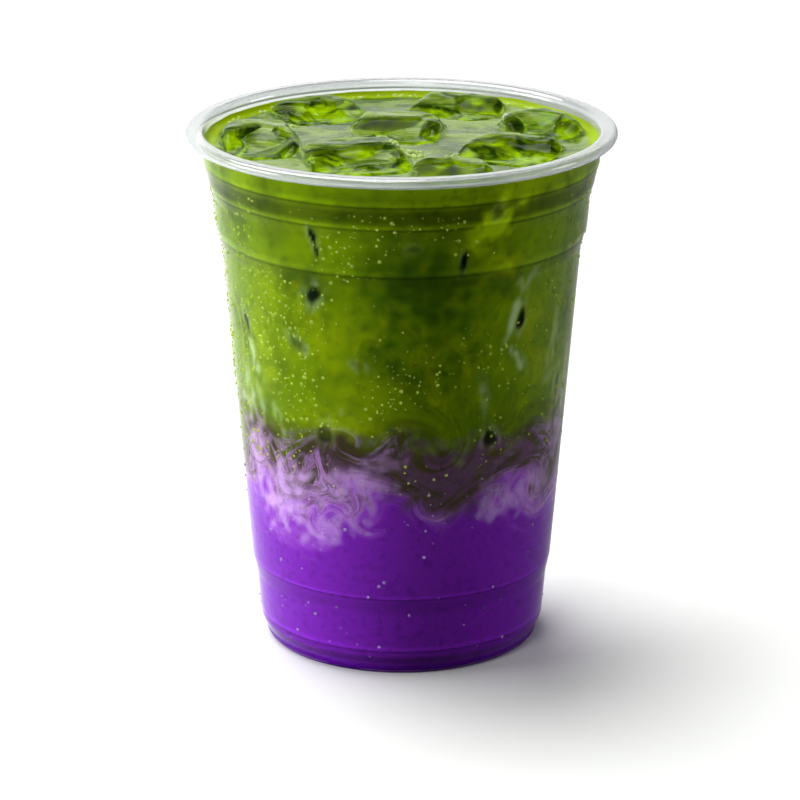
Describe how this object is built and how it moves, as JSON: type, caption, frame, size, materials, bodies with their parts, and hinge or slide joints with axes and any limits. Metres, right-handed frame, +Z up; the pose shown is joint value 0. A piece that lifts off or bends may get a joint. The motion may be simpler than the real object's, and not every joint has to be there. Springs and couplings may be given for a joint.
{
  "type": "ube matcha latte",
  "caption": "Iced latte in a clear disposable cup: a violet ube layer under a green matcha layer, with ice floating at the surface.",
  "frame": {"origin": "centre of the ring that the cup stands on, in the plane of the table", "axes": "+Z up along the cup's axis; -Y is the side that is seen, +X is to the right as seen from there"},
  "size_m": [0.098, 0.098, 0.1212],
  "materials": {
    "clear_plastic": "clear thin thermoformed plastic, glossy",
    "ube_milk": "opaque violet ube milk with lilac swirls where it meets the green layer",
    "matcha_milk": "cloudy green matcha milk, wet and glossy",
    "ice": "melting ice filmed with green milk"
  },
  "bodies": {
    "root": {"cup": "clear_plastic", "ube_milk": "ube_milk", "matcha_milk": "matcha_milk", "ice_left": "ice", "ice_front_left": "ice", "ice_middle": "ice", "ice_back_left": "ice", "ice_back_right": "ice", "ice_right": "ice", "ice_front_right": "ice", "ice_front": "ice"}
  },
  "joints": []
}
